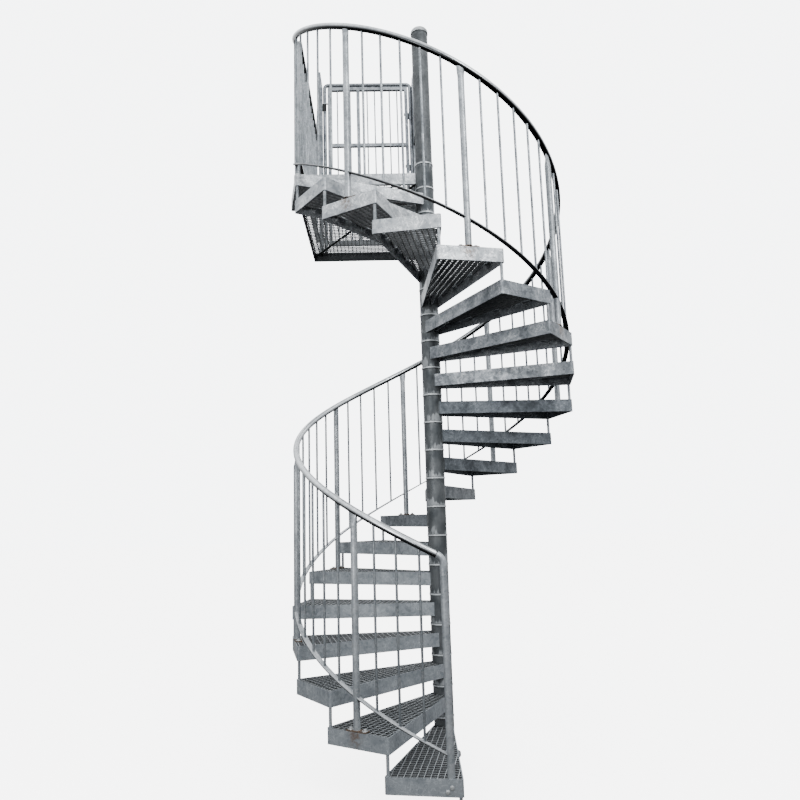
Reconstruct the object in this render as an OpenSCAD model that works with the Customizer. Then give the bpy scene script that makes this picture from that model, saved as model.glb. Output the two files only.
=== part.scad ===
// Galvanised steel spiral staircase: 20 wedge treads on a sleeved column, landing and gate.
// Millimetres, +Z up. Origin: centre of the base plate's underside, on the ground.
// The climb runs clockwise seen from above; the landing's front edge lies along -X.

/* [Overall size] */
// Height of one riser
riser = 180; // [150:1:215]
// Distance from the column axis to the outer face of a tread
stair_radius = 902; // [700:1:1250]
// Number of treads below the landing
treads = 20; // [18:1:20]
// Turn per tread, degrees
step_angle = 22.5; // [20:0.5:25]

/* [Column] */
// Outer diameter of the column pipe
pipe_d = 116; // [80:1:180]
// Wall of the column pipe
pipe_wall = 6; // [3:0.5:12]
// Radial clearance between pipe and sleeves
sleeve_gap = 0.5; // [0.2:0.1:2]
// Wall of the tread sleeves
sleeve_wall = 2.5; // [2:0.5:10]
// How far a sleeve's seam ring stands out
ring_out = 2.5; // [1:0.5:8]
// Height of a sleeve's top seam above its tread
seam_up = 53; // [20:1:90]
// Height of the column top above the landing
column_above = 1065; // [600:5:1500]
// Diameter of the round base plate
base_d = 190; // [180:5:500]
// Thickness of the base plate
base_t = 15; // [8:1:30]
// Distance between neighbouring anchor holes
anchor_pitch = 110; // [106:2:320]
// Anchor hole diameter
anchor_d = 14; // [10:1:30]

/* [Treads] */
// Height of the tread bands
band_h = 80; // [50:1:100]
// Thickness of the tread bands
band_t = 5; // [3:0.5:10]
// Half angle between a tread's outer corners, degrees
half_angle = 12; // [10.5:0.1:13.5]
// Half width of a tread at the column
root_half = 54; // [30:1:58]
// Bend radius of the outer corners
corner_r = 14; // [6:1:30]
// Depth of the grating
grating_h = 30; // [20:1:40]
// Diameter of the spacer struts between treads
strut_d = 18; // [12:1:30]

/* [Landing] */
// Depth of the landing
landing_depth = 1450; // [900:10:2000]
// How far the landing reaches past the column axis
landing_past = 52; // [40:1:55]
// Diameter of the diagonal brace
brace_d = 16; // [10:1:30]

/* [Railing] */
// Distance from the rails' centre line in to the treads' outer face
rail_in = 16; // [8:1:30]
// Thickness of the posts' foot plates
foot_t = 6; // [4:1:12]
// Diameter of handrail and posts
rail_d = 38; // [30:1:50]
// Handrail height above a tread's middle
rail_up = 1107; // [900:1:1250]
// Lower rail height above a tread's middle
low_up = 166; // [140:1:260]
// Width of the lower rail
low_w = 30; // [20:1:50]
// Thickness of the lower rail
low_t = 10; // [6:1:16]
// Diameter of the balusters
bar_d = 14; // [10:1:20]
// Greatest pitch of the balusters, degrees
bar_pitch = 8; // [6:0.1:9]
// Angle of the posts past a tread's middle, degrees
post_off = 0.5; // [-2:0.1:3]
// Extra angle of the post on the sixth tread, degrees
post_extra = 6.5; // [0:0.1:7]
// Angle of the start post before the first tread's middle, degrees
start_back = 8.6; // [4:0.1:10]

/* [Gate] */
// Side of the square gate posts
gate_post = 40; // [30:1:60]
// Top of the gate posts above the landing
gate_post_h = 1765; // [1200:5:1900]
// Top of the fixed frame above the landing
portal_h = 1655; // [1100:5:1800]
// Diameter of the fixed frame tube
portal_d = 33; // [20:1:40]
// Height of the leaf's middle rail above the landing
mid_h = 1033; // [500:5:1200]
// Width of the leaf's square bars
leaf_w = 30; // [20:1:50]
// Thickness of the leaf's square bars
leaf_t = 30; // [10:1:40]
// Clearance below the leaf
leaf_foot = 70; // [30:1:150]
// Diameter of the hinge pins
pin_d = 10; // [8:1:16]
// Diameter of the gate's infill bars
infill_d = 12; // [8:1:16]
// Radial clearance round the hinge pins
pin_gap = 0.1; // [0.05:0.05:0.5]

/* [Hidden] */
$fn = 32;
landing_z = (treads + 1) * riser;
sleeve_id = pipe_d + 2 * sleeve_gap;
sleeve_od = sleeve_id + 2 * sleeve_wall;
ring_od = sleeve_od + 2 * ring_out;
column_top = landing_z + column_above;
first = -90 - step_angle / 2;
corner_rad = stair_radius / cos(half_angle);
half_out = stair_radius * tan(half_angle);
rail_radius = stair_radius - rail_in;
rail_rise = riser / step_angle;
start_r = (stair_radius - 2 - rail_d / 2) / cos(start_back);
gusset_h = band_h - grating_h - 5;
ring_h = 10;
corner_y = rail_d / 2 + 1;
land_phi = (treads - 0.5) * step_angle;
land_x0 = -stair_radius;
land_x1 = landing_past;
side_x = -stair_radius + 40;
gate_y = landing_depth - gate_post / 2 - 2;
gate_x0 = -stair_radius + 67;
gate_x1 = land_x1 - 17;
leg_x0 = gate_x0 + gate_post / 2 + portal_d / 2 + 4;
leg_x1 = gate_x1 - gate_post / 2 - portal_d / 2;
leaf_x0 = leg_x0 + portal_d / 2 + 10;
leaf_x1 = leg_x1 - portal_d / 2 - 6;
leaf_y = gate_y + leaf_t / 2 - 6;
leaf_top = landing_z + portal_h - portal_d - 7;
leaf_bot = landing_z + leaf_foot;
leaf_mid = landing_z + mid_h - leaf_w / 2;
mid_stile = leaf_x0 + 0.36 * (leaf_x1 - leaf_x0);
hinge_x = leg_x1 - portal_d / 2 - 3;
hinge_y = leaf_y + leaf_t / 2 + pin_d + 2;
hinge_zs = [landing_z + 300, landing_z + 820, landing_z + 1340];
rail_end = land_phi + asin(corner_y / rail_radius);
side_rail_z = riser + rail_up + rail_end * rail_rise;
side_low_z = riser + low_up + rail_end * rail_rise;
side_end = gate_y - gate_post / 2;
sweep_steps = 120;

steel = [0.60, 0.63, 0.65];
dark = [0.42, 0.44, 0.46];
bright = [0.72, 0.75, 0.77];
grid = [0.50, 0.53, 0.55];

// Angle on the plan for a climb angle measured from the first tread's middle.
function plan(phi) = first - phi;
function mid(k) = (k - 1) * step_angle;
function post_phi(k) = mid(k) + post_off + (k == 6 ? post_extra : 0);
function hand_z(phi) = riser + rail_up + phi * rail_rise;
function low_z(phi) = riser + low_up + phi * rail_rise;
posts = [for (k = [2:2:treads - 1]) post_phi(k)];
stations = concat([-start_back], posts, [land_phi]);

module at(r, phi) rotate([0, 0, plan(phi)]) translate([r, 0, 0]) children();

// ---------- column ----------
module base_plate() color(dark) difference() {
    cylinder(d = base_d, h = base_t, $fn = 64);
    for (x = [-1, 1], y = [-1, 1]) translate([x * anchor_pitch / 2, y * anchor_pitch / 2, -1])
        cylinder(d = anchor_d, h = base_t + 2);
}

module column() color(dark) difference() {
    translate([0, 0, base_t]) cylinder(d = pipe_d, h = column_top - base_t, $fn = 64);
    translate([0, 0, base_t + 5]) cylinder(d = pipe_d - 2 * pipe_wall, h = column_top, $fn = 64);
}

module column_cap() color(steel) translate([0, 0, column_top]) rotate_extrude($fn = 64)
    polygon(concat([[0, 0], [pipe_d / 2 + 4, 0], [pipe_d / 2 + 4, 14]],
        [for (a = [15:15:90]) [(pipe_d / 2 + 4) * cos(a), 14 + 38 * sin(a)]]));

module base_collar() color(dark) difference() {
    translate([0, 0, base_t]) cylinder(d = sleeve_od, h = seam_up - base_t, $fn = 64);
    translate([0, 0, 0]) cylinder(d = sleeve_id, h = riser, $fn = 64);
}

module sleeve(k) difference() {
    union() {
        translate([0, 0, (k - 1) * riser + seam_up]) cylinder(d = sleeve_od, h = riser, $fn = 64);
        translate([0, 0, k * riser + seam_up - ring_h]) cylinder(d = ring_od, h = ring_h, $fn = 64);
    }
    translate([0, 0, (k - 1) * riser + seam_up - 1]) cylinder(d = sleeve_id, h = riser + 2, $fn = 64);
}

// ---------- treads ----------
function arc(cx, cy, r, a0, a1) = [for (i = [0:4]) let (a = a0 + (a1 - a0) * i / 4)
    [cx + r * cos(a), cy + r * sin(a)]];

// Outline of a tread on the plan, pointing along +X, inset by i.
module wedge(i) {
    slope = atan((half_out - root_half) / stair_radius);
    x0 = 20;
    x1 = stair_radius - i;
    y1 = half_out - i / cos(slope) - i * tan(slope);
    y0 = root_half + x0 * tan(slope) - i / cos(slope);
    r = max(corner_r - i, 2);
    cy = y1 - r * (1 - sin(slope)) / cos(slope);
    polygon(concat([[x0, -y0]], arc(x1 - r, -cy, r, -90 + slope, 0),
        arc(x1 - r, cy, r, 0, 90 - slope), [[x0, y0]]));
}

module tread(k) rotate([0, 0, plan(mid(k))]) color(k > 12 ? bright : steel) {
    sleeve(k);
    translate([0, 0, k * riser - band_h]) difference() {
        linear_extrude(band_h) wedge(0);
        translate([0, 0, -1]) linear_extrude(band_h + 2) wedge(band_t);
        translate([0, 0, -1]) cylinder(d = sleeve_od - 2, h = band_h + 2, $fn = 64);
    }
    // Triangular gusset under the grating, from the sleeve outwards.
    translate([0, 4, k * riser - grating_h]) rotate([90, 0, 0]) linear_extrude(8)
        polygon([[sleeve_od / 2 - 2, 0], [200, 0], [200, -12], [sleeve_od / 2 - 2, -gusset_h]]);
}

module tread_gratings() color(grid) for (k = [1:treads]) rotate([0, 0, plan(mid(k))])
    translate([0, 0, k * riser - grating_h]) difference() {
        linear_extrude(grating_h) wedge(band_t);
        translate([0, 0, -1]) cylinder(d = sleeve_od + 0.6, h = grating_h + 2, $fn = 64);
    }

module spacer_struts() color(steel) for (k = [0:treads]) let (last = k == treads)
    at(stair_radius / cos(step_angle / 2) - (last ? 28 : 14), mid(k) + step_angle / 2 + (last ? 0.2 : 0))
        translate([0, 0, k * riser]) cylinder(d = strut_d, h = riser - band_h);

// ---------- landing ----------
module landing_hub() color(bright) sleeve(treads + 1);

module landing_frame() color(bright) translate([0, 0, landing_z - band_h]) difference() {
    translate([land_x0, 0, 0]) cube([land_x1 - land_x0, landing_depth, band_h]);
    translate([land_x0 + band_t, band_t, -1])
        cube([land_x1 - land_x0 - 2 * band_t, landing_depth - 2 * band_t, band_h + 2]);
    translate([0, 0, -1]) cylinder(d = sleeve_od + 0.2, h = band_h + 2, $fn = 64);
}

module landing_brace() {
    a = [land_x0 + 9, landing_depth - 9];
    color(dark) translate([0, 0, landing_z - grating_h - brace_d / 2 - 0.5]) rotate([0, 0, atan2(a[1], a[0])])
        translate([sleeve_od / 2 - 2, 0, 0]) rotate([0, 90, 0])
            cylinder(d = brace_d, h = norm(a) - sleeve_od / 2 + 2);
}

module landing_grating() color(grid) translate([0, 0, landing_z - grating_h]) difference() {
    translate([land_x0 + band_t, band_t, 0])
        cube([land_x1 - land_x0 - 2 * band_t, landing_depth - 2 * band_t, grating_h]);
    translate([0, 0, -1]) cylinder(d = sleeve_od + 0.6, h = grating_h + 2, $fn = 64);
}

// ---------- helical rails ----------
function ring_pts(prof, r, phi, z) = [for (p = prof) let (a = plan(phi))
    [(r + p[0]) * cos(a), (r + p[0]) * sin(a), z + p[1]]];

// Sweeps a closed profile up the helix from climb angle p0 to p1, at height up above the treads.
module helix(prof, up, p0, p1) {
    n = len(prof);
    m = sweep_steps;
    pts = [for (i = [0:m]) let (p = p0 + (p1 - p0) * i / m)
        each ring_pts(prof, rail_radius, p, riser + up + p * rail_rise)];
    sides = [for (i = [0:m - 1], j = [0:n - 1]) let (q = (j + 1) % n, a = i * n, b = a + n)
        each [[a + j, b + j, b + q], [a + j, b + q, a + q]]];
    polyhedron(points = pts, faces = concat([[for (j = [0:n - 1]) j]], sides,
        [[for (j = [0:n - 1]) m * n + n - 1 - j]]));
}

module handrail() color(bright) {
    tilt = atan(rail_rise * 180 / PI / rail_radius);
    helix([for (i = [0:13]) rail_d / 2 * [cos(i * 360 / 14), sin(i * 360 / 14) / cos(tilt)]],
        rail_up, -start_back, rail_end);
}

module lower_rail() color(bright)
    helix([for (c = [[-1, -1], [1, -1], [1, 1], [-1, 1]]) [c[0] * low_w / 2, c[1] * low_t / 2]],
        low_up, -start_back, rail_end);

module start_post() color(bright) at(start_r, -start_back) {
    translate([0, 0, riser]) cylinder(d = rail_d, h = hand_z(-start_back) - riser);
    translate([0, 0, hand_z(-start_back)]) sphere(d = rail_d);
}

function tread_of(p) = 1 + floor((p + step_angle / 2) / step_angle);

module rail_posts() color(bright) for (p = posts) let (z = tread_of(p) * riser + foot_t)
    at(rail_radius, p) translate([0, 0, z]) cylinder(d = rail_d, h = hand_z(p) - z);

module post_feet() color(steel) for (p = posts)
    let (k = tread_of(p), y = rail_radius * sin(mid(k) - p))
    rotate([0, 0, plan(mid(k))]) translate([stair_radius - 42, max(y, -100) - 60, k * riser])
        cube([40, 120, foot_t]);

module bars(i0, i1) for (i = [i0:i1])
    let (a = stations[i], b = stations[i + 1], n = ceil((b - a) / bar_pitch))
    for (j = [1:n - 1]) let (p = a + (b - a) * j / n) at(rail_radius, p)
        translate([0, 0, low_z(p)]) cylinder(d = bar_d, h = hand_z(p) - low_z(p) - 4, $fn = 16);
module balusters_lower() color(bright) bars(0, 4);
module balusters_upper() color(bright) bars(5, len(stations) - 2);

// ---------- landing railings ----------
module side_rail(x, y0) {
    translate([x, y0, side_rail_z]) rotate([-90, 0, 0]) cylinder(d = rail_d, h = side_end - y0);
    translate([x - low_w / 2, y0, side_low_z - low_t / 2]) cube([low_w, side_end - y0, low_t]);
}
module side_bars(x, y0) {
    n = ceil((side_end - y0) / 112);
    for (j = [1:n - 1]) translate([x, y0 + (side_end - y0) * j / n, side_low_z + low_t / 2])
        cylinder(d = bar_d, h = side_rail_z - side_low_z - low_t / 2 - rail_d / 2 + 4, $fn = 16);
}
module corner_post() color(bright) translate([-rail_radius + 6, corner_y, landing_z])
    cylinder(d = rail_d, h = side_rail_z - landing_z);
module left_rail() color(bright) side_rail(side_x, corner_y);
module left_bars() color(bright) side_bars(side_x, corner_y);
module right_rail() color(bright) side_rail(gate_x1, pipe_d / 2 - 16);
module right_bars() color(bright) side_bars(gate_x1, pipe_d / 2 - 16);

// ---------- gate ----------
// Posts with a tapered top that slopes down towards the opening.
module gate_posts() color(bright) for (s = [1, -1]) let (g = gate_post / 2, h = gate_post_h)
    translate([s > 0 ? gate_x0 : gate_x1, gate_y + g, landing_z]) rotate([90, 0, 0])
        linear_extrude(gate_post) polygon([for (p = [[-g, 0], [g, 0], [g, h - 135], [4, h],
            [-g + 8, h], [-g, h - 50]]) [s * p[0], p[1]]]);

module gate_wings() color(steel) for (x = [gate_x0, gate_x1])
    translate([x - 17, side_end, 0]) rotate([90, 0, 90]) linear_extrude(6)
        polygon([[-260, side_rail_z], [0, side_rail_z], [0, landing_z + gate_post_h - 70]]);

module gate_portal() color(bright) {
    r = portal_d / 2 + 18;
    z1 = landing_z + portal_h - portal_d / 2;
    for (x = [leg_x0, leg_x1]) translate([x, gate_y, landing_z])
        cylinder(d = portal_d, h = z1 - r - landing_z);
    translate([leg_x0 + r, gate_y, z1]) rotate([0, 90, 0])
        cylinder(d = portal_d, h = leg_x1 - leg_x0 - 2 * r);
    for (s = [0, 1]) translate([s ? leg_x1 - r : leg_x0 + r, gate_y, z1 - r]) rotate([90, 0, 0])
        rotate([0, 0, s ? 0 : 90]) rotate_extrude(angle = 90) translate([r, 0]) circle(d = portal_d);
}

module gate_leaf() color(bright) translate([0, leaf_y - leaf_t / 2, 0]) {
    for (x = [leaf_x0, mid_stile, leaf_x1 - leaf_w]) translate([x, 0, leaf_bot])
        cube([leaf_w, leaf_t, leaf_top - leaf_bot]);
    for (z = [leaf_bot, leaf_mid, leaf_top - leaf_w]) translate([leaf_x0, 0, z])
        cube([leaf_x1 - leaf_x0, leaf_t, leaf_w]);
}

// n bars at equal spaces between xa and xb, in the two fields of the leaf.
module infill(xa, xb, n)
    for (j = [1:n], z = [[leaf_bot + leaf_w, leaf_mid], [leaf_mid + leaf_w, leaf_top - leaf_w]])
        translate([xa + (xb - xa) * j / (n + 1), leaf_y, z[0]])
            cylinder(d = infill_d, h = z[1] - z[0], $fn = 16);
module gate_bars() color(bright) {
    infill(leaf_x0 + leaf_w, mid_stile, 3);
    infill(mid_stile + leaf_w, leaf_x1 - leaf_w, 5);
}

// Fixed hinge halves: knuckle, pin and a lug to the frame's leg.
module hinge_pins() color(dark) for (z = hinge_zs) translate([hinge_x, hinge_y, z]) {
    translate([0, 0, -27]) cylinder(d = 2 * pin_d, h = 25);
    translate([0, 0, -10]) cylinder(d = pin_d, h = 40);
    difference() {
        rotate([0, 0, -45]) translate([0, -6, -25]) cube([30, 12, 20]);
        translate([leg_x1 - hinge_x, gate_y - hinge_y, -30]) cylinder(d = portal_d, h = 40);
    }
}
module hinge_eyes() color(dark) for (z = hinge_zs) translate([hinge_x, hinge_y, z]) difference() {
    union() {
        cylinder(d = 2 * pin_d, h = 25);
        translate([-40, -pin_d - 2, 0]) cube([44, pin_d + 2, 25]);
    }
    translate([0, 0, -1]) cylinder(d = pin_d + 2 * pin_gap, h = 27);
}

module gate_latch() color(dark) translate([leaf_x0, leaf_y + leaf_t / 2, landing_z + 1380]) {
    cube([leaf_w, 18, 130]);
    translate([leaf_w / 2, 18, 114]) rotate([-90, 0, 0]) cylinder(d = 14, h = 22);
    translate([leaf_w / 2 - 40, 40, 108]) cube([48, 8, 12]);
}
module gate_keeper() color(dark)
    translate([gate_x0 + gate_post / 2, gate_y - gate_post / 2, landing_z + 1370]) difference() {
        cube([leg_x0 - gate_x0 - gate_post / 2 + portal_d / 2, 12, 70]);
        translate([leg_x0 - gate_x0 - gate_post / 2, gate_post / 2, -1]) cylinder(d = portal_d, h = 72);
    }

base_plate();
column();
column_cap();
base_collar();
tread(1);  // tread_01
tread(2);  // tread_02
tread(3);  // tread_03
tread(4);  // tread_04
tread(5);  // tread_05
tread(6);  // tread_06
tread(7);  // tread_07
tread(8);  // tread_08
tread(9);  // tread_09
tread(10);  // tread_10
tread(11);  // tread_11
tread(12);  // tread_12
tread(13);  // tread_13
tread(14);  // tread_14
tread(15);  // tread_15
tread(16);  // tread_16
tread(17);  // tread_17
tread(18);  // tread_18
tread(19);  // tread_19
tread(20);  // tread_20
tread_gratings();
spacer_struts();
landing_hub();
landing_frame();
landing_brace();
landing_grating();
handrail();
lower_rail();
start_post();
rail_posts();
post_feet();
balusters_lower();
balusters_upper();
corner_post();
left_rail();
left_bars();
right_rail();
right_bars();
gate_posts();
gate_wings();
gate_portal();
hinge_pins();
gate_keeper();
gate_leaf();
gate_bars();
hinge_eyes();
gate_latch();
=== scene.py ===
"""Finish and fine detail of the galvanised steel spiral staircase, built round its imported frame."""
import math

import bpy
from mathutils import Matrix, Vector


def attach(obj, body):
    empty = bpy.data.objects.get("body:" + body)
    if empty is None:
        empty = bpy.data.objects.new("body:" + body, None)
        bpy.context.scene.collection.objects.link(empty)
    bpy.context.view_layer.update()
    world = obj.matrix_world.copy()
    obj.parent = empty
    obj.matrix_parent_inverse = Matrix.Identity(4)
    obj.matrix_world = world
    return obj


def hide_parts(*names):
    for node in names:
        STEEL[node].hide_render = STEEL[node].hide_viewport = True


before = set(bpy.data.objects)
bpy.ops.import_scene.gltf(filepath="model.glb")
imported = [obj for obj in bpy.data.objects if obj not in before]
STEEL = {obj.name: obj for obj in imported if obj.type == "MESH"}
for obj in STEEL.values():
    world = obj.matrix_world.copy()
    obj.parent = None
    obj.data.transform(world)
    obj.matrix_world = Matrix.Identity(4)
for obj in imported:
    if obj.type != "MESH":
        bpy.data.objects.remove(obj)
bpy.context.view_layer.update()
bpy.ops.object.select_all(action="DESELECT")

# Sizes of the staircase in metres, the same as in the part's source.
RISER = 0.180
STAIR_RADIUS = 0.902
TREADS = 20
STEP_ANGLE = 22.5
FIRST_ANGLE = -90 - STEP_ANGLE / 2
SLEEVE_RADIUS = 0.061
SEAM_UP = 0.053
BAND_THICK = 0.005
ROOT_HALF = 0.054
OUTER_HALF = STAIR_RADIUS * math.tan(math.radians(12))
GRATING_DEPTH = 0.030
LANDING_Z = (TREADS + 1) * RISER
LANDING_DEPTH = 1.450
LANDING_LEFT = -STAIR_RADIUS
LANDING_RIGHT = 0.052
RAIL_RADIUS = 0.886
START_RADIUS = 0.889
RAIL_DIAMETER = 0.038
RAIL_UP = 1.107
LOW_UP = 0.166
LOW_WIDTH = 0.030
LOW_THICK = 0.010
FOOT_THICK = 0.006
START_BACK = 8.6
RAIL_END = (TREADS - 0.5) * STEP_ANGLE + math.degrees(math.asin(0.020 / RAIL_RADIUS))
POST_ANGLES = {k: (k - 1) * STEP_ANGLE + (7.0 if k == 6 else 0.5) for k in range(2, TREADS, 2)}
ANCHOR_HALF = 0.055
BASE_THICK = 0.015

# Gratings: bearing bars at one pitch with shallower cross bars, let 1 mm into their frame.
BEARING_PITCH = 0.033
CROSS_PITCH = 0.031
GRATING_BAR_THICK = 0.003
CROSS_DEPTH = 0.010
CROSS_SUNK = 0.0005
LAST_CROSS = 0.012
LET_IN = 0.001
TREAD_MAT_WIDTH = 0.40
HUB_CLEARANCE = 0.0005
REST_PLACES = (0.30, 0.52, 0.74)
REST_SUNK = 0.0005

# Railing: the bend at the start, the posts' pressed tops and the places of their bolts.
RAIL_ROUNDS = 300
TUBE_SIDES = 24
BEND_RADIUS = 0.062
BEND_STEPS = 12
PRESSED_LENGTH = 0.085
FOOT_BOLT_HALF = 0.044
FOOT_BOLT_IN = 0.022
FOOT_REACH = 0.100
RUST_DOWN = 0.020
# How far to the side of the middle line and how far below the top.
START_BOLTS = ((0.138, 0.038), (0.117, 0.058))


def plan_angle(climb):
    """Angle on the plan, in degrees, for a climb angle from the first tread's middle."""
    return FIRST_ANGLE - climb


def on_plan(radius, climb, z):
    """The point at a radius and a climb angle, at height z."""
    turn = math.radians(plan_angle(climb))
    return Vector((radius * math.cos(turn), radius * math.sin(turn), z))


def middle(k):
    """The climb angle of tread k's middle line."""
    return (k - 1) * STEP_ANGLE


def beside_middle(k):
    """How far the post on tread k stands to the side of the tread's middle line."""
    return RAIL_RADIUS * math.sin(math.radians(middle(k) - POST_ANGLES[k]))


def on_tread(k, out, sideways, z):
    """The point so far out along tread k's middle line and so far to one side of it."""
    turn = math.radians(plan_angle(middle(k)))
    return Vector((out * math.cos(turn) - sideways * math.sin(turn),
                   out * math.sin(turn) + sideways * math.cos(turn), z))


# ---------- modelling helpers ----------
def pick(*pieces):
    """Leaves only these pieces selected, the first one active."""
    bpy.ops.object.select_all(action="DESELECT")
    for piece in pieces:
        piece.select_set(True)
    bpy.context.view_layer.objects.active = pieces[0]
    return pieces[0]


def settle(piece):
    """Puts a piece's place, turn and scale into its mesh."""
    pick(piece)
    bpy.ops.object.transform_apply(location=True, rotation=True, scale=True)
    return piece


def modify(piece, kind, **settings):
    """Adds a modifier with its settings and applies it."""
    pick(piece)
    modifier = piece.modifiers.new(kind.title(), kind)
    for name, value in settings.items():
        setattr(modifier, name, value)
    bpy.ops.object.modifier_apply(modifier=modifier.name)
    return piece


def block(name, size, centre, bevel=0.0):
    """A bar of a given size, with softened edges where it can be seen close by."""
    bpy.ops.mesh.primitive_cube_add(size=1, location=centre)
    piece = bpy.context.object
    piece.name = name
    piece.scale = size
    settle(piece)
    if bevel:
        modify(piece, "BEVEL", width=bevel, segments=2)
    return piece


def rod(name, radius, length, centre, sides, bevel=0.0):
    """An upright round or many-sided bar, with softened ends where they can be seen."""
    bpy.ops.mesh.primitive_cylinder_add(vertices=sides, radius=radius, depth=length,
                                        location=centre)
    piece = settle(bpy.context.object)
    piece.name = name
    if bevel:
        modify(piece, "BEVEL", width=bevel, segments=2, limit_method="ANGLE",
               angle_limit=math.radians(50))
    return piece


def select_top(piece):
    """Goes to edit mode with only the faces that look up selected."""
    pick(piece)
    bpy.ops.object.mode_set(mode="EDIT")
    bpy.ops.mesh.select_mode(type="FACE")
    bpy.ops.mesh.select_all(action="DESELECT")
    bpy.ops.object.mode_set(mode="OBJECT")
    for face in piece.data.polygons:
        face.select = face.normal.z > 0.9
    bpy.ops.object.mode_set(mode="EDIT")


def cut_away(piece, point, outward):
    """Cuts a piece by a plane, drops what lies beyond it and closes the cut."""
    pick(piece)
    bpy.ops.object.mode_set(mode="EDIT")
    bpy.ops.mesh.select_all(action="SELECT")
    bpy.ops.mesh.bisect(plane_co=point, plane_no=outward, use_fill=True, clear_outer=True)
    bpy.ops.object.mode_set(mode="OBJECT")
    return piece


def copy_at(piece, turn, shift):
    """A copy with its own mesh, turned about the column's axis in degrees and moved."""
    made = piece.copy()
    made.data = piece.data.copy()
    bpy.context.scene.collection.objects.link(made)
    made.rotation_euler = (0, 0, math.radians(turn))
    made.location = shift
    return settle(made)


def face_outward(piece):
    """Turns a piece's faces outward."""
    pick(piece)
    bpy.ops.object.mode_set(mode="EDIT")
    bpy.ops.mesh.select_all(action="SELECT")
    bpy.ops.mesh.normals_make_consistent(inside=False)
    bpy.ops.object.mode_set(mode="OBJECT")
    return piece


def join(name, pieces):
    """Joins pieces into the first of them and gives it a name."""
    pick(*pieces)
    bpy.ops.object.join()
    piece = bpy.context.object
    piece.name = name
    piece.data.name = name
    return piece


def drop(piece):
    """Removes a pattern that has been copied."""
    bpy.data.objects.remove(piece)


def smooth(piece, angle=40):
    """Shades a piece smooth, but for edges sharper than the angle in degrees."""
    pick(piece)
    bpy.ops.object.shade_smooth_by_angle(angle=math.radians(angle))
    return piece


def finish_piece(piece, material, body="root"):
    """Gives a new piece its finish, in one material slot, and the body it rides on."""
    piece.data.materials.clear()
    piece.data.materials.append(material)
    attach(piece, body)
    return piece


# ---------- materials ----------
def srgb(code):
    """Linear colour from a six-digit sRGB hex value."""
    parts = [int(code[i:i + 2], 16) / 255 for i in (1, 3, 5)]
    return tuple(c / 12.92 if c <= 0.04045 else ((c + 0.055) / 1.055) ** 2.4
                 for c in parts) + (1.0,)


def add(tree, kind, inputs=(), out=0, **settings):
    """Adds a shader node and gives one output; an input takes a value or another's output."""
    made = tree.nodes.new("ShaderNode" + kind)
    for name, value in settings.items():
        setattr(made, name, value)
    for socket, value in dict(inputs).items():
        if isinstance(value, bpy.types.NodeSocket):
            tree.links.new(value, made.inputs[socket])
        else:
            made.inputs[socket].default_value = value
    return made.outputs[out]


# A MapRange node's inputs are 0 the value, 1 and 2 its range, 3 and 4 what the range becomes,
# from 0 to 1 unless given. A colour Mix gives input 6 at factor 0 and input 7 at factor 1.
EASE = {"interpolation_type": "SMOOTHSTEP"}
COLOUR = {"out": 2, "data_type": "RGBA"}


# Hot-dip galvanised steel. The zinc sets in crystals a centimetre or two across, dulls in clouds
# about 12 cm wide and keeps pale run marks, so a flat bar looks mottled and softly shiny.
# Near-black painted shade for the faces that look down.
UNDERSIDE_SHADE_COLOUR = "#121314"


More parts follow.
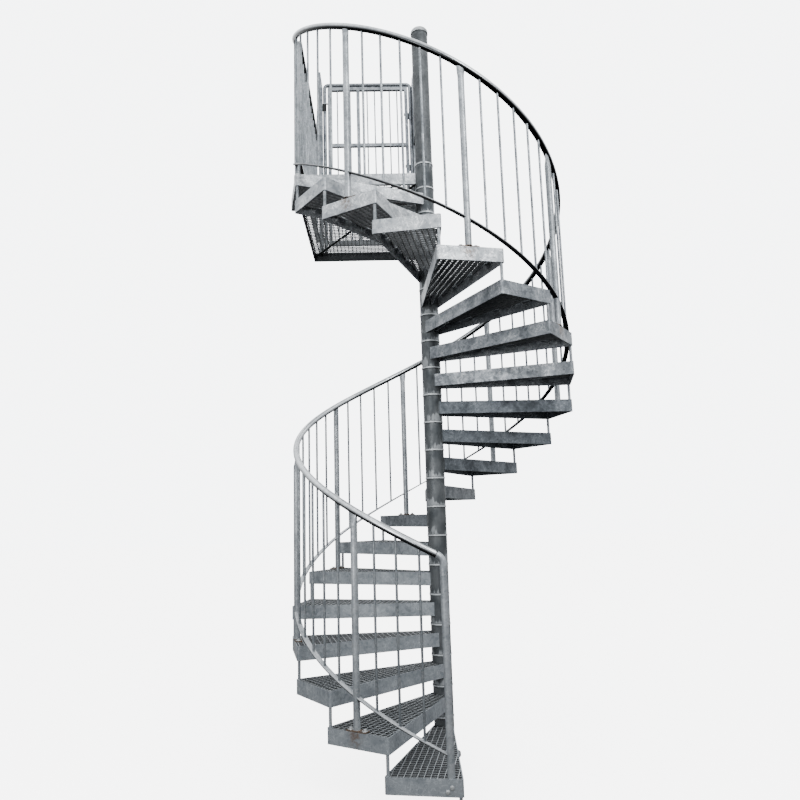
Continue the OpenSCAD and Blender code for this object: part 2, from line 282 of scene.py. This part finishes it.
def galvanised(name, dark, light, mark, crystal=0.016, cloud=0.12, rough=(0.42, 0.62),
               metallic=0.8, marks=0.6, seed=0.0, rust=(), sleeve="", inner_shade=False,
               underside_shade=()):
    """The coat in three tones; crystal and cloud are sizes in metres, and the underside range paints
    shade on faces that look down.
    """
    material = bpy.data.materials.new(name)
    material.use_nodes = True
    tree = material.node_tree
    shader = tree.nodes["Principled BSDF"]
    place = add(tree, "TexCoord", out="Object")
    here = add(tree, "Mapping",
               {"Vector": place, "Location": (seed * 1.7, seed * 0.9, seed * 0.4)})
    # The crystals' edges wander over about 4 cm.
    warp = add(tree, "TexNoise", {"Vector": here, "Scale": 24.0, "Detail": 3.0}, out="Color")
    bent = add(tree, "VectorMath", {0: warp, 1: (0.03, 0.03, 0.03), 2: here},
               operation="MULTIPLY_ADD")
    crystals = add(tree, "TexVoronoi", {"Vector": bent, "Scale": 1 / crystal}, out="Color")
    facet = add(tree, "SeparateColor", {0: crystals})
    facet = add(tree, "Math", {0: facet, 1: 0.42}, operation="MULTIPLY")
    clouds = add(tree, "TexNoise", {"Vector": here, "Scale": 1 / cloud, "Detail": 6.0,
                                    "Roughness": 0.62})
    clouds = add(tree, "MapRange", {0: clouds, 1: 0.32, 2: 0.68}, **EASE)
    tone = add(tree, "Math", {0: clouds, 1: 0.58, 2: facet}, operation="MULTIPLY_ADD")
    colour = add(tree, "Mix", {"Factor": tone, 6: srgb(dark), 7: srgb(light)}, **COLOUR)
    # Run marks: thin pale curls about 5 cm across, left by the zinc as it drained and set.
    flow = add(tree, "TexNoise", {"Vector": bent, "Scale": 19.0, "Detail": 2.0,
                                  "Distortion": 1.6})
    curl = add(tree, "Math", {0: flow, 1: 0.5}, operation="SUBTRACT")
    curl = add(tree, "Math", {0: curl}, operation="ABSOLUTE")
    curl = add(tree, "MapRange", {0: curl, 1: 0.0, 2: 0.035, 3: marks, 4: 0.0}, **EASE)
    curl = add(tree, "Math", {0: curl, 1: clouds}, operation="MULTIPLY")
    colour = add(tree, "Mix", {"Factor": curl, 6: colour, 7: srgb(mark)}, **COLOUR)
    if sleeve:
        colour = sleeve_patina(tree, place, here, colour, sleeve == "bright top")
    # Painted shade on the inner faces of the landing's frame.
    if inner_shade:
        colour = shade_inner_faces(tree, place, colour)
    # Painted shade: faces turned down are mixed towards a near-black colour, while faces turned up
    # keep the coat's colour.
    if underside_shade:
        facing = add(tree, "NewGeometry", out="Normal")
        facing = add(tree, "SeparateXYZ", {0: facing}, out="Z")
        lit_share = add(tree, "MapRange", {0: facing, 1: underside_shade[0], 2: underside_shade[1]}, **EASE)
        colour = add(tree, "Mix", {"Factor": lit_share, 6: srgb(UNDERSIDE_SHADE_COLOUR), 7: colour},
                     **COLOUR)
    for spot in rust:
        colour = rust_stain(tree, place, colour, spot)
    tree.links.new(colour, shader.inputs["Base Color"])
    shader.inputs["Metallic"].default_value = metallic
    dullness = add(tree, "MapRange", {0: tone, 3: rough[1], 4: rough[0]}, **EASE)
    tree.links.new(dullness, shader.inputs["Roughness"])
    # Fine grain of the coat, drawn about 3 mm wide, over the crystals' shallow steps.
    grain = add(tree, "TexNoise", {"Vector": here, "Scale": 340.0, "Detail": 2.0})
    height = add(tree, "Math", {0: grain, 1: 0.5, 2: tone}, operation="MULTIPLY_ADD")
    bump = add(tree, "Bump", {"Height": height, "Strength": 0.25, "Distance": 0.001})
    tree.links.new(bump, shader.inputs["Normal"])
    return material


def along_sleeve(tree, place):
    """How far above the last seam a point lies on the stack of sleeves, in metres."""
    z = add(tree, "SeparateXYZ", {0: place}, out="Z")
    above = add(tree, "Math", {0: z, 1: SEAM_UP}, operation="SUBTRACT")
    sleeves = add(tree, "Math", {0: above, 1: RISER}, operation="DIVIDE")
    part = add(tree, "Math", {0: sleeves}, operation="FRACT")
    return add(tree, "Math", {0: part, 1: RISER}, operation="MULTIPLY")


def sleeve_patina(tree, place, here, colour, from_top):
    """Dull grey sleeves with bright zinc run down to the seams, and a bright ring at each seam with a
    painted shadow line on either side.
    """
    # Only the steel within 64 mm of the axis is sleeve; the rest belongs to the tread's frame.
    flat = add(tree, "VectorMath", {0: place, 1: (1, 1, 0)}, operation="MULTIPLY")
    radius = add(tree, "VectorMath", {0: flat}, out="Value", operation="LENGTH")
    on_sleeve = add(tree, "MapRange", {0: radius, 1: 0.0640, 2: 0.0660, 3: 1.0, 4: 0.0}, **EASE)
    up = along_sleeve(tree, place)
    down = add(tree, "Math", {0: RISER, 1: up}, operation="SUBTRACT")
    # Drips about 1 cm wide and 14 cm long hang from patches about 6 cm wide and 11 cm long.
    drawn = add(tree, "Mapping", {"Vector": here, "Scale": (95, 95, 7)})
    drips = add(tree, "TexNoise", {"Vector": drawn, "Scale": 1.0, "Detail": 1.0})
    drips = add(tree, "MapRange", {0: drips, 1: 0.40, 2: 0.75, 3: -0.006, 4: 0.026}, **EASE)
    broad = add(tree, "Mapping", {"Vector": here, "Scale": (16, 16, 9)})
    patches = add(tree, "TexNoise", {"Vector": broad, "Scale": 1.0, "Detail": 2.0})
    reach = add(tree, "MapRange", {0: patches, 1: 0.45, 2: 0.70, 3: 0.0, 4: 0.055}, **EASE)
    reach = add(tree, "Math", {0: reach, 1: drips}, operation="ADD")
    gap = add(tree, "Math", {0: down if from_top else up, 1: reach}, operation="SUBTRACT")
    bright = add(tree, "MapRange", {0: gap, 1: -0.012, 2: 0.014, 3: 0.75, 4: 0.0}, **EASE)
    dull = add(tree, "MapRange", {0: patches, 1: 0.3, 2: 0.7}, **EASE)
    dull = add(tree, "Mix", {"Factor": dull, 6: srgb("#3a3e41"), 7: srgb("#56595b")}, **COLOUR)
    aged = add(tree, "Mix", {"Factor": bright, 6: dull, 7: srgb("#8f9396")}, **COLOUR)
    # The ring below each seam is 10 mm high; a painted shadow line lies on either side of it.
    ring = add(tree, "MapRange", {0: down, 1: 0.009, 2: 0.0105, 3: 1.0, 4: 0.0}, **EASE)
    aged = add(tree, "Mix", {"Factor": ring, 6: aged, 7: srgb("#a9adb0")}, **COLOUR)
    seam_shadow = add(tree, "MapRange", {0: down, 1: 0.0095, 2: 0.0105}, **EASE)
    fade = add(tree, "MapRange", {0: down, 1: 0.0135, 2: 0.0150, 3: 1.0, 4: 0.0}, **EASE)
    upper_seam_shadow = add(tree, "MapRange", {0: up, 1: 0.0020, 2: 0.0035, 3: 1.0, 4: 0.0}, **EASE)
    seam_shadow = add(tree, "Math", {0: seam_shadow, 1: fade, 2: upper_seam_shadow}, operation="MULTIPLY_ADD")
    aged = add(tree, "Mix", {"Factor": seam_shadow, 6: aged, 7: srgb("#191b1c")}, **COLOUR)
    return add(tree, "Mix", {"Factor": on_sleeve, 6: colour, 7: aged}, **COLOUR)


def shade_inner_faces(tree, place, colour):
    """Painted shade on the landing's frame, from about 2 mm behind its outer faces."""
    y = add(tree, "SeparateXYZ", {0: place}, out="Y")
    x = add(tree, "SeparateXYZ", {0: place}, out="X")
    behind = add(tree, "MapRange", {0: y, 1: 0.0015, 2: 0.0035}, **EASE)
    beside = add(tree, "MapRange", {0: x, 1: LANDING_LEFT + 0.0015, 2: LANDING_LEFT + 0.0035},
                 **EASE)
    inside = add(tree, "Math", {0: behind, 1: beside}, operation="MULTIPLY")
    inside = add(tree, "Math", {0: inside, 1: 0.9}, operation="MULTIPLY")
    return add(tree, "Mix", {"Factor": inside, 6: colour, 7: srgb("#2b2e31")}, **COLOUR)


def rust_stain(tree, place, colour, spot):
    """Brown rust that has bled from a foot plate and run down the face below it."""
    away = add(tree, "VectorMath", {0: place, 1: spot}, operation="SUBTRACT")
    # The stain fades out about 60 mm to each side and 85 mm down.
    spread = add(tree, "VectorMath", {0: away, 1: (18.0, 18.0, 13.0)}, operation="MULTIPLY")
    far = add(tree, "VectorMath", {0: spread}, out="Value", operation="LENGTH")
    near = add(tree, "MapRange", {0: far, 1: 0.1, 2: 1.1, 3: 1.0, 4: 0.0}, **EASE)
    ragged = add(tree, "TexNoise", {"Vector": place, "Scale": 55.0, "Detail": 4.0})
    ragged = add(tree, "MapRange", {0: ragged, 1: 0.36, 2: 0.62}, **EASE)
    share = add(tree, "Math", {0: near, 1: ragged}, operation="MULTIPLY")
    share = add(tree, "Math", {0: share, 1: 0.75}, operation="MULTIPLY")
    return add(tree, "Mix", {"Factor": share, 6: colour, 7: srgb("#5d4a3b")}, **COLOUR)


def foot_spot(k):
    """Where the rust under the post on tread k starts, on the tread's outer face."""
    return on_tread(k, STAIR_RADIUS, beside_middle(k), k * RISER - RUST_DOWN)


def tread_zinc(k):
    """Galvanised tread in four tones: the top ones are lightest, partly from a fresh coat and partly
    from painted light, and those half way up are darkest from painted shade.
    """
    # The tones carry painted light on the top treads and painted shade on those half way up.
    dark, light, mark, marks = (
        ("#656a6f", "#969ca1", "#bcc1c5", 0.50) if k < 8 else
        ("#3f4449", "#6a7076", "#a3a9ae", 0.35) if k < 13 else
        ("#555a5f", "#8f9499", "#d5d8da", 0.60) if k < 16 else
        ("#7d8287", "#b6babd", "#f2f3f4", 0.95))
    rust = [foot_spot(k)] if k in POST_ANGLES else []
    return galvanised(f"galvanised_tread_{k:02d}", dark, light, mark, seed=k * 0.37, rust=rust,
                      sleeve="bright foot", marks=marks)


# Weathered galvanised pipe: the bare top of the column, evenly dark and dull.
pipe_zinc = galvanised("weathered_galvanised_pipe", "#3d4042", "#545759", "#6d7072", marks=0.15,
                       cloud=0.2, rough=(0.5, 0.65), seed=3.1)
# Galvanised cap: a pressed dome, the lightest steel on the column.
cap_zinc = galvanised("galvanised_cap", "#7d8183", "#b8bbbd", "#f0f1f2", marks=0.5, seed=5.7)
# Galvanised sleeve: dull grey, with bright zinc drawn down from its top.
sleeve_zinc = galvanised("galvanised_sleeve", "#6f7377", "#a0a4a7", "#cfd2d4", seed=2.2,
                         sleeve="bright top")
# Galvanised flat bar, new and bright, with many run marks; painted shade darkens its inner faces.
landing_zinc = galvanised("galvanised_landing_band", "#7d8287", "#b6babd", "#f2f3f4",
                          marks=0.95, seed=8.4, inner_shade=True)
# Galvanised grating: thin bars, with painted shade on their sides so that only the top edges stay
# bright.
grating_zinc = galvanised("galvanised_grating", "#868b8f", "#c3c7ca", "#dfe1e3", marks=0.1,
                          crystal=0.012, seed=4.9, rough=(0.4, 0.6), metallic=0.7,
                          underside_shade=(-0.35, 0.9))
# Galvanised rod under the landing, with painted shade that makes it almost black against the grating.
brace_zinc = galvanised("galvanised_brace_painted_shade", "#1f2123", "#36393b", "#4c4f51", marks=0.1,
                        crystal=0.010, seed=1.9)
# Galvanised rod and small flat parts: plain mid grey.
strut_zinc = galvanised("galvanised_rod", "#5f6468", "#969b9f", "#c8cbce", marks=0.3,
                        crystal=0.010, seed=6.3)
# Zinc tube rubbed by hands: smooth, with painted shade that darkens it below.
rail_zinc = galvanised("hand_polished_zinc_tube", "#8b8f92", "#c4c7c9", "#dfe1e2", marks=0.15,
                       crystal=0.012, cloud=0.25, rough=(0.17, 0.28), metallic=0.97, seed=7.7,
                       underside_shade=(-0.70, 0.25))
# Galvanised flat strip of the lower rail: a little duller than the handrail, with painted shade on the
# faces that look down.
strip_zinc = galvanised("galvanised_flat_strip", "#7d8184", "#b0b3b6", "#dfe1e2", marks=0.15,
                        crystal=0.012, cloud=0.25, seed=7.1, underside_shade=(-0.45, 0.55))
# Galvanised post tube: mid grey and rather matt.
post_zinc = galvanised("galvanised_post", "#6c7175", "#a0a5a9", "#c8cbce", marks=0.25,
                       crystal=0.012, seed=1.6, rough=(0.38, 0.5))
# Galvanised round bar of the railing: darker, with a soft shine.
bar_zinc = galvanised("galvanised_railing", "#585d61", "#8b9094", "#c4c7ca", marks=0.3,
                      crystal=0.012, seed=1.3, rough=(0.3, 0.45), metallic=0.9)
# Galvanised gate: mid grey with light run marks.
gate_zinc = galvanised("galvanised_gate", "#5a5f64", "#959a9f", "#dcdee0", marks=0.4,
                       crystal=0.014, seed=9.2, metallic=0.9)
# Dark iron of the lock case and its keeper: nearly black.
lock_iron = galvanised("dark_lock_case", "#141517", "#232527", "#3a3c3e", marks=0.1,
                       crystal=0.008, seed=3.7, metallic=0.6)
# Foot plate whose zinc has gone: brown with rust.
foot_zinc = galvanised("rusted_foot_plate", "#2c2520", "#5d4a3b", "#8a8178", marks=0.2,
                       crystal=0.010, seed=2.9, metallic=0.4)
# Zinc-plated bolt: light grey and finer than the hot-dip coat.
bolt_zinc = galvanised("zinc_plated_bolt", "#86898a", "#bcbfc0", "#dededd", marks=0.1,
                       crystal=0.006, seed=0.6, rough=(0.3, 0.45))

FINISH = {
    "base_plate": pipe_zinc, "column": pipe_zinc, "column_cap": cap_zinc,
    "base_collar": sleeve_zinc, "spacer_struts": strut_zinc, "landing_hub": sleeve_zinc,
    "landing_frame": landing_zinc, "landing_brace": brace_zinc,
    "post_feet": foot_zinc, "balusters_lower": bar_zinc,
    "balusters_upper": bar_zinc, "corner_post": bar_zinc, "left_rail": rail_zinc,
    "left_bars": bar_zinc, "right_rail": rail_zinc, "right_bars": bar_zinc,
    "gate_posts": gate_zinc, "gate_wings": gate_zinc, "gate_portal": gate_zinc,
    "hinge_pins": gate_zinc, "gate_keeper": lock_iron, "gate_leaf": gate_zinc,
    "gate_bars": gate_zinc, "hinge_eyes": gate_zinc, "gate_latch": lock_iron,
}
for k in range(1, TREADS + 1):
    FINISH[f"tread_{k:02d}"] = tread_zinc(k)
for name, material in FINISH.items():
    for place in STEEL[name].material_slots:
        place.material = material


# ---------- gratings ----------
def grating_mat(name, length, width):
    """Bearing bars along x, from x = 0, with cross bars between them just under their tops."""
    count = int(width / BEARING_PITCH) + 1
    bar = block("bearing_bar", (length, GRATING_BAR_THICK, GRATING_DEPTH),
                (length / 2, -(count - 1) * BEARING_PITCH / 2, -GRATING_DEPTH / 2))
    bar = modify(bar, "ARRAY", count=count, use_relative_offset=False, use_constant_offset=True,
                 constant_offset_displace=(0, BEARING_PITCH, 0))
    crosses = int((length - LAST_CROSS) / CROSS_PITCH)
    first = length - LAST_CROSS - (crosses - 1) * CROSS_PITCH
    cross = block("cross_bar", (GRATING_BAR_THICK, width, CROSS_DEPTH),
                  (first, 0, -CROSS_DEPTH / 2 - CROSS_SUNK))
    cross = modify(cross, "ARRAY", count=crosses, use_relative_offset=False,
                   use_constant_offset=True, constant_offset_displace=(CROSS_PITCH, 0, 0))
    return join(name, [bar, cross])


slope = math.atan((OUTER_HALF - ROOT_HALF) / STAIR_RADIUS)
inner_half = ROOT_HALF - (BAND_THICK - LET_IN) / math.cos(slope)
mat = grating_mat("tread_mat", STAIR_RADIUS - BAND_THICK + LET_IN, TREAD_MAT_WIDTH)
for side in (-1, 1):
    cut_away(mat, (0, side * inner_half, 0),
             (-math.sin(slope), side * math.cos(slope), 0))
cut_away(mat, (SLEEVE_RADIUS - LET_IN, 0, 0), (-1, 0, 0))
mats = [copy_at(mat, plan_angle(middle(k)), (0, 0, k * RISER))
        for k in range(1, TREADS + 1)]
drop(mat)
tread_mats = join("tread_grating_bars", mats)
finish_piece(tread_mats, grating_zinc)
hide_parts("tread_gratings")

# The landing's bearing bars run front to back.
frame_inside = 2 * (BAND_THICK - LET_IN)
deck_mat = grating_mat("landing_mat", LANDING_DEPTH - frame_inside,
                       LANDING_RIGHT - LANDING_LEFT - frame_inside)
deck = copy_at(deck_mat, 90,
               ((LANDING_LEFT + LANDING_RIGHT) / 2, BAND_THICK - LET_IN, LANDING_Z))
drop(deck_mat)
deck.name = "landing_grating_bars"
hole = rod("hub_hole", SLEEVE_RADIUS + HUB_CLEARANCE, 0.2, (0, 0, LANDING_Z), sides=40)
modify(deck, "BOOLEAN", object=hole, operation="DIFFERENCE", solver="EXACT")
drop(hole)
finish_piece(deck, grating_zinc)
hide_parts("landing_grating")


# ---------- helical rails ----------
TILT = math.atan(RISER / math.radians(STEP_ANGLE) / RAIL_RADIUS)
BEND_BACK = math.degrees(BEND_RADIUS * (1 - math.sin(TILT)) / RAIL_RADIUS)


def climb(name, profile, up, from_angle):
    """Sweeps a closed profile, drawn at the rail's radius, up the helix from a climb angle."""
    turn = RAIL_END - from_angle
    rise = turn / STEP_ANGLE * RISER
    start = math.radians(plan_angle(from_angle))
    profile.name = name
    modify(profile, "SCREW", angle=-math.radians(turn), screw_offset=rise, steps=RAIL_ROUNDS,
           render_steps=RAIL_ROUNDS, axis="Z", use_merge_vertices=False, use_smooth_shade=True)
    profile.rotation_euler = (0, 0, start)
    profile.location = (0, 0, RISER + up + from_angle / STEP_ANGLE * RISER)
    settle(profile)
    pick(profile)
    bpy.ops.object.mode_set(mode="EDIT")
    bpy.ops.mesh.select_mode(type="EDGE")
    bpy.ops.mesh.select_all(action="DESELECT")
    bpy.ops.mesh.select_non_manifold()
    bpy.ops.mesh.fill()
    bpy.ops.object.mode_set(mode="OBJECT")
    return face_outward(profile)


bpy.ops.mesh.primitive_circle_add(vertices=TUBE_SIDES, radius=RAIL_DIAMETER / 2,
                                  location=(RAIL_RADIUS, 0, 0), rotation=(math.pi / 2, 0, 0))
circle = bpy.context.object
circle.scale = (1, 1 / math.cos(TILT), 1)
handrail = climb("handrail_tube", settle(circle), RAIL_UP, BEND_BACK - START_BACK)
smooth(handrail, 60)
finish_piece(handrail, rail_zinc)
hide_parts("handrail")

bpy.ops.mesh.primitive_plane_add(size=1, location=(RAIL_RADIUS, 0, 0),
                                 rotation=(math.pi / 2, 0, 0))
strip = bpy.context.object
strip.scale = (LOW_WIDTH, LOW_THICK, 1)
settle(strip)
pick(strip)
bpy.ops.object.mode_set(mode="EDIT")
bpy.ops.mesh.select_all(action="SELECT")
bpy.ops.mesh.bevel(offset=0.0018, segments=2, affect="VERTICES")
bpy.ops.mesh.delete(type="ONLY_FACE")
bpy.ops.object.mode_set(mode="OBJECT")
lower = climb("lower_rail_strip", strip, LOW_UP, -START_BACK)
smooth(lower, 35)
finish_piece(lower, strip_zinc)
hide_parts("lower_rail")


def handrail_z(climb_angle):
    """The height of the handrail's centre line."""
    return RISER + RAIL_UP + climb_angle / STEP_ANGLE * RISER


# The start post ends in a bend that turns down out of the handrail, with a weld at the joint.
bend_top = handrail_z(BEND_BACK - START_BACK)
bend_foot = bend_top - BEND_RADIUS * math.cos(TILT)
bpy.ops.mesh.primitive_circle_add(vertices=TUBE_SIDES, radius=RAIL_DIAMETER / 2,
                                  location=(BEND_RADIUS, 0, 0), rotation=(math.pi / 2, 0, 0))
bend = settle(bpy.context.object)
modify(bend, "SCREW", angle=math.pi / 2 - TILT, screw_offset=0, steps=BEND_STEPS,
       render_steps=BEND_STEPS, axis="Z", use_merge_vertices=False, use_smooth_shade=True)
bend.rotation_euler = (math.pi / 2, 0, 0)
settle(bend)
facing = math.radians(plan_angle(-START_BACK) + 90)
bend.rotation_euler = (0, 0, facing)
bend.location = on_plan(START_RADIUS, -START_BACK, bend_foot) - BEND_RADIUS * Vector(
    (math.cos(facing), math.sin(facing), 0))
face_outward(settle(bend))
upright = rod("upright", RAIL_DIAMETER / 2, bend_foot - RISER,
              on_plan(START_RADIUS, -START_BACK, (bend_foot + RISER) / 2), sides=TUBE_SIDES)
bpy.ops.mesh.primitive_torus_add(major_radius=RAIL_DIAMETER / 2, minor_radius=0.0018,
                                 major_segments=28, minor_segments=8,
                                 location=on_plan(START_RADIUS, -START_BACK, bend_foot))
seam = settle(bpy.context.object)
start_post = smooth(join("start_post_tube", [upright, bend, seam]), 50)
finish_piece(start_post, post_zinc)
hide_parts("start_post")


# ---------- rests under the gratings ----------
# Short pieces of angle on each tread's long sides, which the grating lies on.
shelf = block("rest_shelf", (0.050, 0.020, 0.004), (0, 0.010, -0.002), 0.0008)
leg = block("rest_leg", (0.050, 0.004, 0.022), (0, 0.002, -0.015), 0.0008)
rest = join("rest_pattern", [shelf, leg])
rests = []
for k in range(1, TREADS + 1):
    for out in REST_PLACES:
        for side in (-1, 1):
            turn = plan_angle(middle(k)) + side * math.degrees(slope) + (180 if side > 0 else 0)
            wide = side * (inner_half - REST_SUNK + out * math.tan(slope))
            rests.append(copy_at(rest, turn, on_tread(k, out, wide, k * RISER - GRATING_DEPTH)))
drop(rest)
tread_rests = join("tread_grating_rests", rests)
finish_piece(tread_rests, strut_zinc)


# ---------- posts ----------
def pressed_post(height):
    """A tube post whose top is pressed flat and flares where it meets the handrail."""
    round_part = height - PRESSED_LENGTH
    post = rod("post", RAIL_DIAMETER / 2, round_part, (0, 0, round_part / 2), sides=28)
    select_top(post)
    # Each step rises so far and makes the tube wider one way and thinner the other.
    for rise, wide, thin in ((0.012, 1.02, 0.96), (0.018, 1.12, 0.72), (0.020, 1.10, 0.74),
                             (0.031, 1.04, 0.92)):
        bpy.ops.mesh.extrude_region_move(TRANSFORM_OT_translate={"value": (0, 0, rise)})
        bpy.ops.transform.resize(value=(thin, wide, 1))
    bpy.ops.object.mode_set(mode="OBJECT")
    return smooth(post, 50)


posts, beads = [], []
bpy.ops.mesh.primitive_torus_add(major_radius=RAIL_DIAMETER / 2 + 0.0006, minor_radius=0.003,
                                 major_segments=28, minor_segments=8)
bead = bpy.context.object
for k, angle in POST_ANGLES.items():
    foot = k * RISER + FOOT_THICK
    post = pressed_post(handrail_z(angle) - foot)
    posts.append(copy_at(post, plan_angle(angle), on_plan(RAIL_RADIUS, angle, foot)))
    beads.append(copy_at(bead, k * 31, on_plan(RAIL_RADIUS, angle, foot + 0.001)))
    drop(post)
drop(bead)
rail_posts = join("rail_post_tubes", posts)
finish_piece(rail_posts, post_zinc)
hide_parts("rail_posts")
post_welds = join("post_weld_beads", beads)
smooth(post_welds, 80)
finish_piece(post_welds, foot_zinc)


# ---------- fastenings ----------
def hex_bolt(name, across, head, washer):
    """A hexagon bolt with a chamfered head on a round washer, standing on the floor plane."""
    hexagon = rod(name, across / math.sqrt(3), head, (0, 0, washer + head / 2), sides=6)
    select_top(hexagon)
    bpy.ops.mesh.inset(thickness=across * 0.07, depth=0.0)
    bpy.ops.mesh.inset(thickness=across * 0.03, depth=across * 0.04)
    bpy.ops.object.mode_set(mode="OBJECT")
    ring = rod("washer", across * 0.95, washer, (0, 0, washer / 2), sides=20, bevel=washer * 0.2)
    return join(name, [hexagon, ring])


# Each bolt and nut is turned by its own angle, as a spanner leaves them.
bolt = hex_bolt("bolt_pattern", 0.017, 0.0075, 0.002)
fixings = []
for k in POST_ANGLES:
    along = max(beside_middle(k), -FOOT_REACH)
    for end in (-FOOT_BOLT_HALF, FOOT_BOLT_HALF):
        spot = on_tread(k, STAIR_RADIUS - FOOT_BOLT_IN, along + end, k * RISER + FOOT_THICK)
        fixings.append(copy_at(bolt, plan_angle(middle(k)) + k * 17, spot))
foot_bolts = join("foot_plate_bolts", fixings)
smooth(foot_bolts)
finish_piece(foot_bolts, bolt_zinc)

# Two smaller bolts lie flat in the first tread's outer face, below the start post.
fixings = []
for sideways, down in START_BOLTS:
    made = bolt.copy()
    made.data = bolt.data.copy()
    made.scale = (0.72, 0.72, 0.9)
    bpy.context.scene.collection.objects.link(made)
    made.rotation_euler = (0, math.pi / 2, math.radians(plan_angle(middle(1))))
    made.location = on_tread(1, STAIR_RADIUS, sideways, RISER - down)
    fixings.append(settle(made))
start_bolts = join("start_post_bolts", fixings)
smooth(start_bolts)
finish_piece(start_bolts, bolt_zinc)
drop(bolt)

anchors = []
for x in (-ANCHOR_HALF, ANCHOR_HALF):
    for y in (-ANCHOR_HALF, ANCHOR_HALF):
        nut = hex_bolt("anchor_nut", 0.019, 0.010, 0.0025)
        stud = rod("anchor_stud", 0.006, 0.035, (0, 0, 0.0075), sides=20, bevel=0.0012)
        nut = join("anchor", [nut, stud])
        anchors.append(copy_at(nut, 20 * x / y + 40 * x / ANCHOR_HALF, (x, y, BASE_THICK)))
        drop(nut)
anchor_nuts = join("anchor_nuts", anchors)
smooth(anchor_nuts)
finish_piece(anchor_nuts, bolt_zinc)

# ---------- stage, light and camera ----------
bpy.ops.mesh.primitive_plane_add(size=80, location=(0, 0, 0))
floor = bpy.context.object
floor.name = "studio_floor"
# Painted plaster floor: plain and pale, and lit from within so that it meets the backdrop.
plaster = bpy.data.materials.new("pale_floor")
plaster.use_nodes = True
surface = plaster.node_tree.nodes["Principled BSDF"].inputs
surface["Base Color"].default_value = srgb("#ededec")
surface["Roughness"].default_value = 0.9
surface["Emission Color"].default_value = srgb("#ffffff")
surface["Emission Strength"].default_value = 4.2
floor.data.materials.append(plaster)
floor.visible_diffuse = False
floor.visible_glossy = False

world = bpy.data.worlds.new("soft_sky")
bpy.context.scene.world = world
world.use_nodes = True
sky = world.node_tree
height = add(sky, "TexCoord", out="Generated")
height = add(sky, "SeparateXYZ", {0: height}, out="Z")
sky.nodes["Background"].inputs["Color"].default_value = srgb("#f4f6f8")
# The sky is brightest overhead, and the steel sees almost no light from below the horizon.
overhead = add(sky, "MapRange", {0: height, 1: 0.0, 2: 0.85, 3: 1.1, 4: 3.4}, **EASE)
below = add(sky, "MapRange", {0: height, 1: -0.30, 2: 0.0, 3: 0.09, 4: 1.0}, **EASE)
lighting = add(sky, "Math", {0: overhead, 1: below}, operation="MULTIPLY")
# The camera sees a plain white backdrop, while the steel is lit by the sky.
seen = add(sky, "LightPath", out="Is Camera Ray")
backdrop = add(sky, "Mix", {"Factor": seen, "A": lighting, "B": 7.0})
sky.links.new(backdrop, sky.nodes["Background"].inputs["Strength"])


def area_light(name, place, aim, size, power):
    """A square soft light at a place, turned to a point."""
    bpy.ops.object.light_add(type="AREA", location=place)
    lamp = bpy.context.object
    lamp.name = name
    lamp.data.size = size
    lamp.data.energy = power
    lamp.rotation_euler = (Vector(aim) - Vector(place)).to_track_quat("-Z", "Y").to_euler()


area_light("front_softbox", (3.0, -6.5, 6.5), (0, 0, 3.0), 3.0, 380)
area_light("near_softbox", (-2.2, -4.2, 2.4), (-0.2, -0.6, 1.2), 1.8, 90)

# Close in front, 1.43 m above the ground, looking a little upwards.
bpy.ops.object.camera_add(location=(-0.33493, -4.48193, 1.43032),
                          rotation=[math.radians(a) for a in (99.5435, 1.6204, -1.2865)])
camera = bpy.context.object
camera.data.lens = 31.18
camera.data.sensor_width = 36
bpy.context.scene.camera = camera
